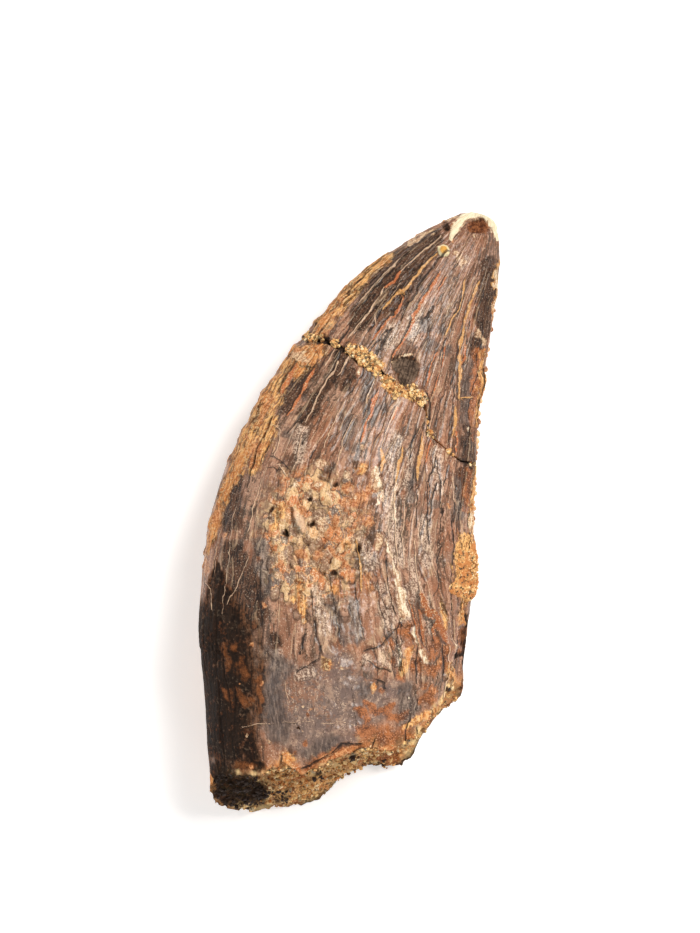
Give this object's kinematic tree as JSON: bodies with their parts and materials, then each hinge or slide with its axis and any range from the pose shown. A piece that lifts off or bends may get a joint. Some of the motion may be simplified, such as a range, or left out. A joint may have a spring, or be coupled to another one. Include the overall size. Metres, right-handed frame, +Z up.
{
  "type": "fossil tyrannosaur tooth",
  "caption": "Curved, pointed fossil tooth lying on its side: serrated rear edge, bulging front edge, broken root, and a gritty sandstone-filled break across the crown.",
  "frame": {"origin": "middle of the footprint, on the surface the tooth lies on", "axes": "+Y from the broken root to the tip, +Z up, away from the surface it lies on, +X towards the serrated rear edge"},
  "size_m": [0.0242, 0.0538, 0.0144],
  "materials": {
    "tooth_enamel": "satin, mineral-stained brown enamel with fine lengthwise striations",
    "sandstone": "matte, gritty golden-brown sandstone"
  },
  "bodies": {
    "root": {"tooth": "tooth_enamel", "break_fill": "sandstone", "edge_matrix": "sandstone"}
  },
  "joints": []
}
